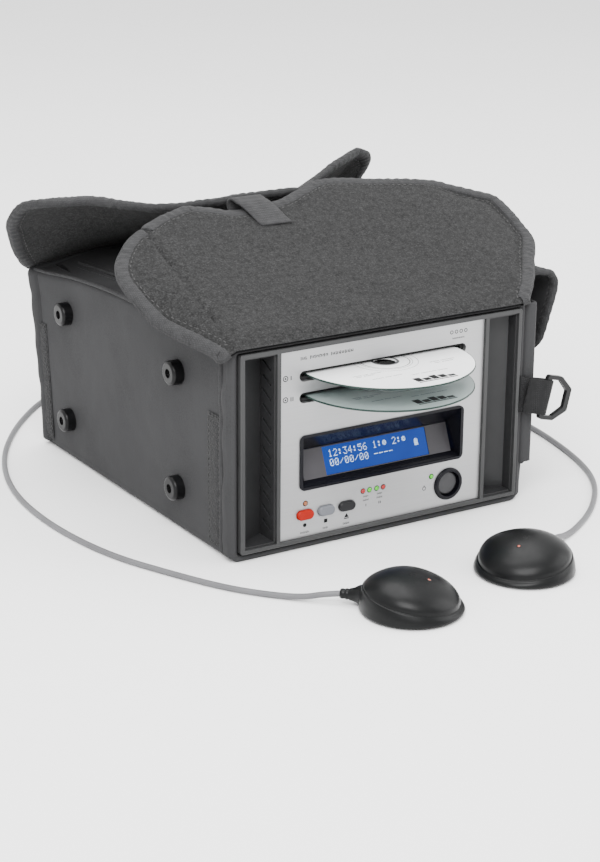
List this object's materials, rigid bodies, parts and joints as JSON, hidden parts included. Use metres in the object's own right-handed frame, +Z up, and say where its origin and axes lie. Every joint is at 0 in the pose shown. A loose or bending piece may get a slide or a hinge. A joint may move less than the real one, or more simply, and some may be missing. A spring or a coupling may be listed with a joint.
{
  "type": "portable disc recorder",
  "caption": "Twin disc interview recorder with a display and keys, in a padded flap carry case with feet, side pocket and strap rings, and coiled-lead table microphones.",
  "frame": {"origin": "middle of the case's underside, where it stands on the table", "axes": "+X to the right of someone facing the panel, +Y to the back, +Z up"},
  "size_m": [0.416, 0.546, 0.211],
  "materials": {
    "case_cloth": "matt woven nylon over foam",
    "flap_lining": "brushed lining",
    "webbing": "ribbed webbing",
    "hook_tape": "hook tape",
    "foot_rubber": "matt",
    "zinc_steel": "plated",
    "ring_plastic": "moulded",
    "frame_grey": "satin paint",
    "grip_grey": "moulded",
    "panel_silver": "brushed",
    "chassis_steel": "satin",
    "drive_steel": "plain",
    "gloss_black": "gloss",
    "face_grey": "satin",
    "lcd_blue": "lit blue",
    "felt_black": "matt",
    "roller_rubber": "matt",
    "disc_white": "printable white",
    "record_red": "satin",
    "stop_grey": "satin",
    "key_black": "satin",
    "lamp_amber": "clear",
    "lamp_red": "clear",
    "lamp_green": "clear",
    "board_green": "solder mask",
    "battery_wrap": "film",
    "socket_black": "moulded",
    "mic_black": "satin",
    "mic_weight": "powder coat",
    "capsule_metal": "plain",
    "plug_black": "moulded",
    "lead_grey": "smooth sleeve"
  },
  "bodies": {
    "recorder_and_case": {"case_shell": "case_cloth", "side_feet": "foot_rubber", "foot_screws": "zinc_steel", "hook_strips": "hook_tape", "side_pouch": "case_cloth", "ring_webbing": "webbing", "front_frame": "frame_grey", "grip_liner_left": "grip_grey", "grip_liner_right": "grip_grey", "front_panel": "panel_silver", "chassis_tray": "chassis_steel", "chassis_cover": "chassis_steel", "rear_panel": "chassis_steel", "chassis_screws": "zinc_steel", "display_bezel": "gloss_black", "display_plate": "face_grey", "lcd_module": "lcd_blue", "dust_lips": "felt_black", "drive_housing_a": "drive_steel", "drive_housing_b": "drive_steel", "drive_bracket": "chassis_steel", "power_bezel": "gloss_black", "key_board": "board_green", "record_led": "lamp_amber", "level_leds_red": "lamp_red", "level_leds_green": "lamp_green", "power_led": "lamp_green", "main_board": "board_green", "battery_pack": "battery_wrap", "audio_sockets": "socket_black", "dc_inlet": "socket_black", "mic_base_left": "mic_weight", "mic_base_right": "mic_weight", "mic_shell_left": "mic_black", "mic_shell_right": "mic_black", "mic_reliefs": "mic_black", "mic_capsules": "capsule_metal", "mic_leds": "lamp_green", "mic_plug_left": "plug_black", "mic_plug_right": "plug_black", "mic_coil_left": "lead_grey", "mic_coil_right": "lead_grey", "mic_lead_left": "lead_grey", "mic_lead_right": "lead_grey"},
    "front_flap_body": {"front_flap": "flap_lining", "flap_tab": "webbing"},
    "rear_flap_body": {"rear_flap": "flap_lining"},
    "pouch_flap_body": {"pouch_flap": "case_cloth"},
    "front_ring": {"d_ring_front": "ring_plastic"},
    "rear_ring": {"d_ring_rear": "ring_plastic"},
    "upper_disc": {"disc_a": "disc_white"},
    "lower_disc": {"disc_b": "disc_white"},
    "upper_roller": {"load_roller_a": "roller_rubber"},
    "lower_roller": {"load_roller_b": "roller_rubber"},
    "upper_turntable": {"turntable_a": "drive_steel"},
    "lower_turntable": {"turntable_b": "drive_steel"},
    "record_key": {"record_button": "record_red"},
    "stop_key": {"stop_button": "stop_grey"},
    "eject_key": {"eject_button": "key_black"},
    "power_key": {"power_button": "key_black"}
  },
  "joints": [
    {"name": "front_flap_hinge", "type": "hinge", "parent": "recorder_and_case", "child": "front_flap_body", "pos_m": [0, -0.1435, 0.1475], "axis": [1, 0, 0], "range_deg": [0, 175]},
    {"name": "rear_flap_hinge", "type": "hinge", "parent": "recorder_and_case", "child": "rear_flap_body", "pos_m": [0, 0.1435, 0.1475], "axis": [-1, 0, 0], "range_deg": [0, 190]},
    {"name": "pouch_flap_hinge", "type": "hinge", "parent": "recorder_and_case", "child": "pouch_flap_body", "pos_m": [0.118, 0.0005, 0.148], "axis": [0, 1, 0], "range_deg": [0, 20]},
    {"name": "front_ring_swing", "type": "hinge", "parent": "recorder_and_case", "child": "front_ring", "pos_m": [0.133, -0.1469, 0.0755], "axis": [0.2419, 0, 0.9703], "range_deg": [-80, 80]},
    {"name": "rear_ring_swing", "type": "hinge", "parent": "recorder_and_case", "child": "rear_ring", "pos_m": [0.133, 0.1469, 0.0755], "axis": [0.2419, 0, 0.9703], "range_deg": [-80, 80]},
    {"name": "upper_disc_slide", "type": "slide", "parent": "recorder_and_case", "child": "upper_disc", "axis": [0, 1, 0], "range_m": [0, 0.075]},
    {"name": "lower_disc_slide", "type": "slide", "parent": "recorder_and_case", "child": "lower_disc", "axis": [0, 1, 0], "range_m": [0, 0.075]},
    {"name": "upper_roller_spin", "type": "hinge", "parent": "recorder_and_case", "child": "upper_roller", "pos_m": [-0.0005, -0.1315, 0.11775], "axis": [-1, 0, 0], "range_deg": [-5, 1960]},
    {"name": "lower_roller_spin", "type": "hinge", "parent": "recorder_and_case", "child": "lower_roller", "pos_m": [-0.0005, -0.1315, 0.10295], "axis": [-1, 0, 0], "range_deg": [-5, 1960]},
    {"name": "upper_turntable_spin", "type": "hinge", "parent": "recorder_and_case", "child": "upper_turntable", "pos_m": [-0.0005, -0.0685, 0.1166], "axis": [0, 0, -1], "continuous": true},
    {"name": "lower_turntable_spin", "type": "hinge", "parent": "recorder_and_case", "child": "lower_turntable", "pos_m": [-0.0005, -0.0685, 0.1018], "axis": [0, 0, -1], "continuous": true},
    {"name": "record_press", "type": "slide", "parent": "recorder_and_case", "child": "record_key", "axis": [0, 1, 0], "range_m": [0, 0.0012], "stiffness_N_per_m": 400},
    {"name": "stop_press", "type": "slide", "parent": "recorder_and_case", "child": "stop_key", "axis": [0, 1, 0], "range_m": [0, 0.0012], "stiffness_N_per_m": 400},
    {"name": "eject_press", "type": "slide", "parent": "recorder_and_case", "child": "eject_key", "axis": [0, 1, 0], "range_m": [0, 0.0012], "stiffness_N_per_m": 400},
    {"name": "power_press", "type": "slide", "parent": "recorder_and_case", "child": "power_key", "axis": [0, 1, 0], "range_m": [0, 0.0015], "stiffness_N_per_m": 500}
  ],
  "couplings": [
    {"joint": "upper_roller_spin", "follows": "upper_disc_slide", "rad_per_m": 454.55},
    {"joint": "lower_roller_spin", "follows": "lower_disc_slide", "rad_per_m": 454.55}
  ]
}
